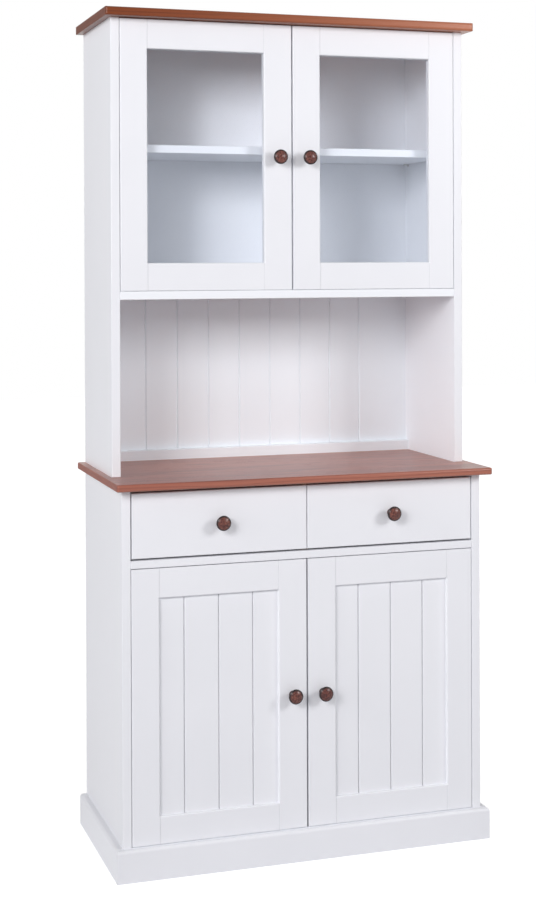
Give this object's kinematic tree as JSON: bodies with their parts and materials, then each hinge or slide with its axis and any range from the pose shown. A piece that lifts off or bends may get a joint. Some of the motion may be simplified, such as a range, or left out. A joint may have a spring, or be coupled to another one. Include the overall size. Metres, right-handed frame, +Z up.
{
  "type": "buffet cabinet",
  "caption": "Buffet cabinet: glazed hutch and open niche over a base with drawers and grooved-panel doors, painted white with stained top boards and knobs.",
  "frame": {"origin": "on the floor under the middle of the bounding box", "axes": "+Z up, front faces -Y, +X to the right of someone facing the front"},
  "size_m": [0.878, 0.42, 1.887],
  "materials": {
    "white_paint": "satin white paint on wood",
    "stained_wood": "reddish brown stain, satin lacquer",
    "bare_wood": "planed bare pine",
    "steel": "nickel-plated steel",
    "glass": "clear float glass"
  },
  "bodies": {
    "cabinet": {"plinth_front": "white_paint", "plinth_sides": "white_paint", "lower_left_side": "white_paint", "lower_right_side": "white_paint", "lower_bottom": "white_paint", "lower_back": "white_paint", "drawer_deck": "white_paint", "drawer_partition": "bare_wood", "drawer_runners": "bare_wood", "lower_shelf": "white_paint", "worktop": "stained_wood", "upper_left_side": "white_paint", "upper_right_side": "white_paint", "upper_floor": "white_paint", "top_board": "stained_wood", "niche_rail": "white_paint", "niche_back": "white_paint", "display_back": "white_paint", "display_shelf": "white_paint", "shelf_supports": "steel", "hinge_arms": "steel", "hinge_pins": "steel", "case_screws": "steel", "back_nails": "steel", "door_stops": "white_paint", "case_dowels": "bare_wood"},
    "upper_left_door": {"upper_left_door_stiles": "white_paint", "upper_left_door_rails": "white_paint", "upper_left_door_glass": "glass", "upper_left_door_beads": "white_paint", "upper_left_door_knob": "stained_wood", "upper_left_door_hardware": "steel"},
    "lower_left_door": {"lower_left_door_stiles": "white_paint", "lower_left_door_rails": "white_paint", "lower_left_door_panel": "white_paint", "lower_left_door_knob": "stained_wood", "lower_left_door_hardware": "steel"},
    "left_drawer": {"left_drawer_front": "white_paint", "left_drawer_sides": "bare_wood", "left_drawer_back": "bare_wood", "left_drawer_bottom": "bare_wood", "left_drawer_knob": "stained_wood", "left_drawer_fixings": "steel"},
    "upper_right_door": {"upper_right_door_stiles": "white_paint", "upper_right_door_rails": "white_paint", "upper_right_door_glass": "glass", "upper_right_door_beads": "white_paint", "upper_right_door_knob": "stained_wood", "upper_right_door_hardware": "steel"},
    "lower_right_door": {"lower_right_door_stiles": "white_paint", "lower_right_door_rails": "white_paint", "lower_right_door_panel": "white_paint", "lower_right_door_knob": "stained_wood", "lower_right_door_hardware": "steel"},
    "right_drawer": {"right_drawer_front": "white_paint", "right_drawer_sides": "bare_wood", "right_drawer_back": "bare_wood", "right_drawer_bottom": "bare_wood", "right_drawer_knob": "stained_wood", "right_drawer_fixings": "steel"}
  },
  "joints": [
    {"name": "upper_left_door_swing", "type": "hinge", "parent": "cabinet", "child": "upper_left_door", "pos_m": [-0.3788, -0.07695, 1.5661], "axis": [0, 0, -1], "range_deg": [0, 95]},
    {"name": "upper_right_door_swing", "type": "hinge", "parent": "cabinet", "child": "upper_right_door", "pos_m": [0.3788, -0.07695, 1.5661], "axis": [0, 0, 1], "range_deg": [0, 95]},
    {"name": "lower_left_door_swing", "type": "hinge", "parent": "cabinet", "child": "lower_left_door", "pos_m": [-0.3788, -0.16795, 0.3693], "axis": [0, 0, -1], "range_deg": [0, 95]},
    {"name": "lower_right_door_swing", "type": "hinge", "parent": "cabinet", "child": "lower_right_door", "pos_m": [0.3788, -0.16795, 0.3693], "axis": [0, 0, 1], "range_deg": [0, 95]},
    {"name": "left_drawer_slide", "type": "slide", "parent": "cabinet", "child": "left_drawer", "axis": [0, -1, 0], "range_m": [0, 0.25]},
    {"name": "right_drawer_slide", "type": "slide", "parent": "cabinet", "child": "right_drawer", "axis": [0, -1, 0], "range_m": [0, 0.25]}
  ]
}
